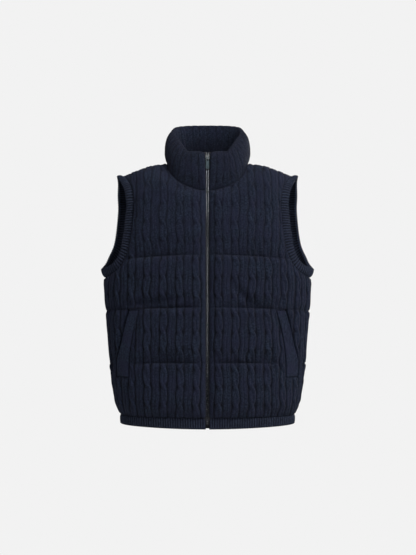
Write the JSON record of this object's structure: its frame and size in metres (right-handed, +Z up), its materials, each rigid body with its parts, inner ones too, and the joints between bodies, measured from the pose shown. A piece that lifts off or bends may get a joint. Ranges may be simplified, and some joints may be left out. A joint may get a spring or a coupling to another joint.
{
  "type": "padded cable-knit zip vest, held up by its wearer",
  "caption": "Sleeveless padded cable-knit vest with quilted channels, stand collar, ribbed armholes and hem, slanted welt pockets and a full-length front zip with a hinged pull tab.",
  "frame": {"origin": "between the shoulders at the base of the neck, where the wearer's shoulders carry the vest", "axes": "+Z up, -Y out of the front, +X towards the wearer's left side"},
  "size_m": [0.509, 0.267, 0.7235],
  "materials": {
    "cable_knit": "dark navy cable-knit wool, quilted over soft padding, matt with a faint fuzz",
    "rib_knit": "dark navy ribbed knit, matt",
    "plain_knit": "dark navy plain fine knit, matt",
    "zip_tape": "near-black woven zip tape",
    "zip_metal": "dark nickel zip metal, softly polished"
  },
  "bodies": {
    "vest": {"front_left": "cable_knit", "front_right": "cable_knit", "back": "cable_knit", "collar": "cable_knit", "armhole_rib_left": "rib_knit", "armhole_rib_right": "rib_knit", "hem_rib": "rib_knit", "pocket_welt_left": "plain_knit", "pocket_welt_right": "plain_knit", "zip_tape_left": "zip_tape", "zip_tape_right": "zip_tape", "zip_chain": "zip_metal", "top_stop_left": "zip_metal", "top_stop_right": "zip_metal", "zip_box": "zip_metal", "slider": "zip_metal"},
    "pull_tab": {"pull_tab": "zip_metal"}
  },
  "joints": [
    {"name": "pull_tab_hinge", "type": "hinge", "parent": "vest", "child": "pull_tab", "pos_m": [0, -0.09444, 0.00411], "axis": [-1, 0, 0], "range_deg": [0, 150]}
  ]
}
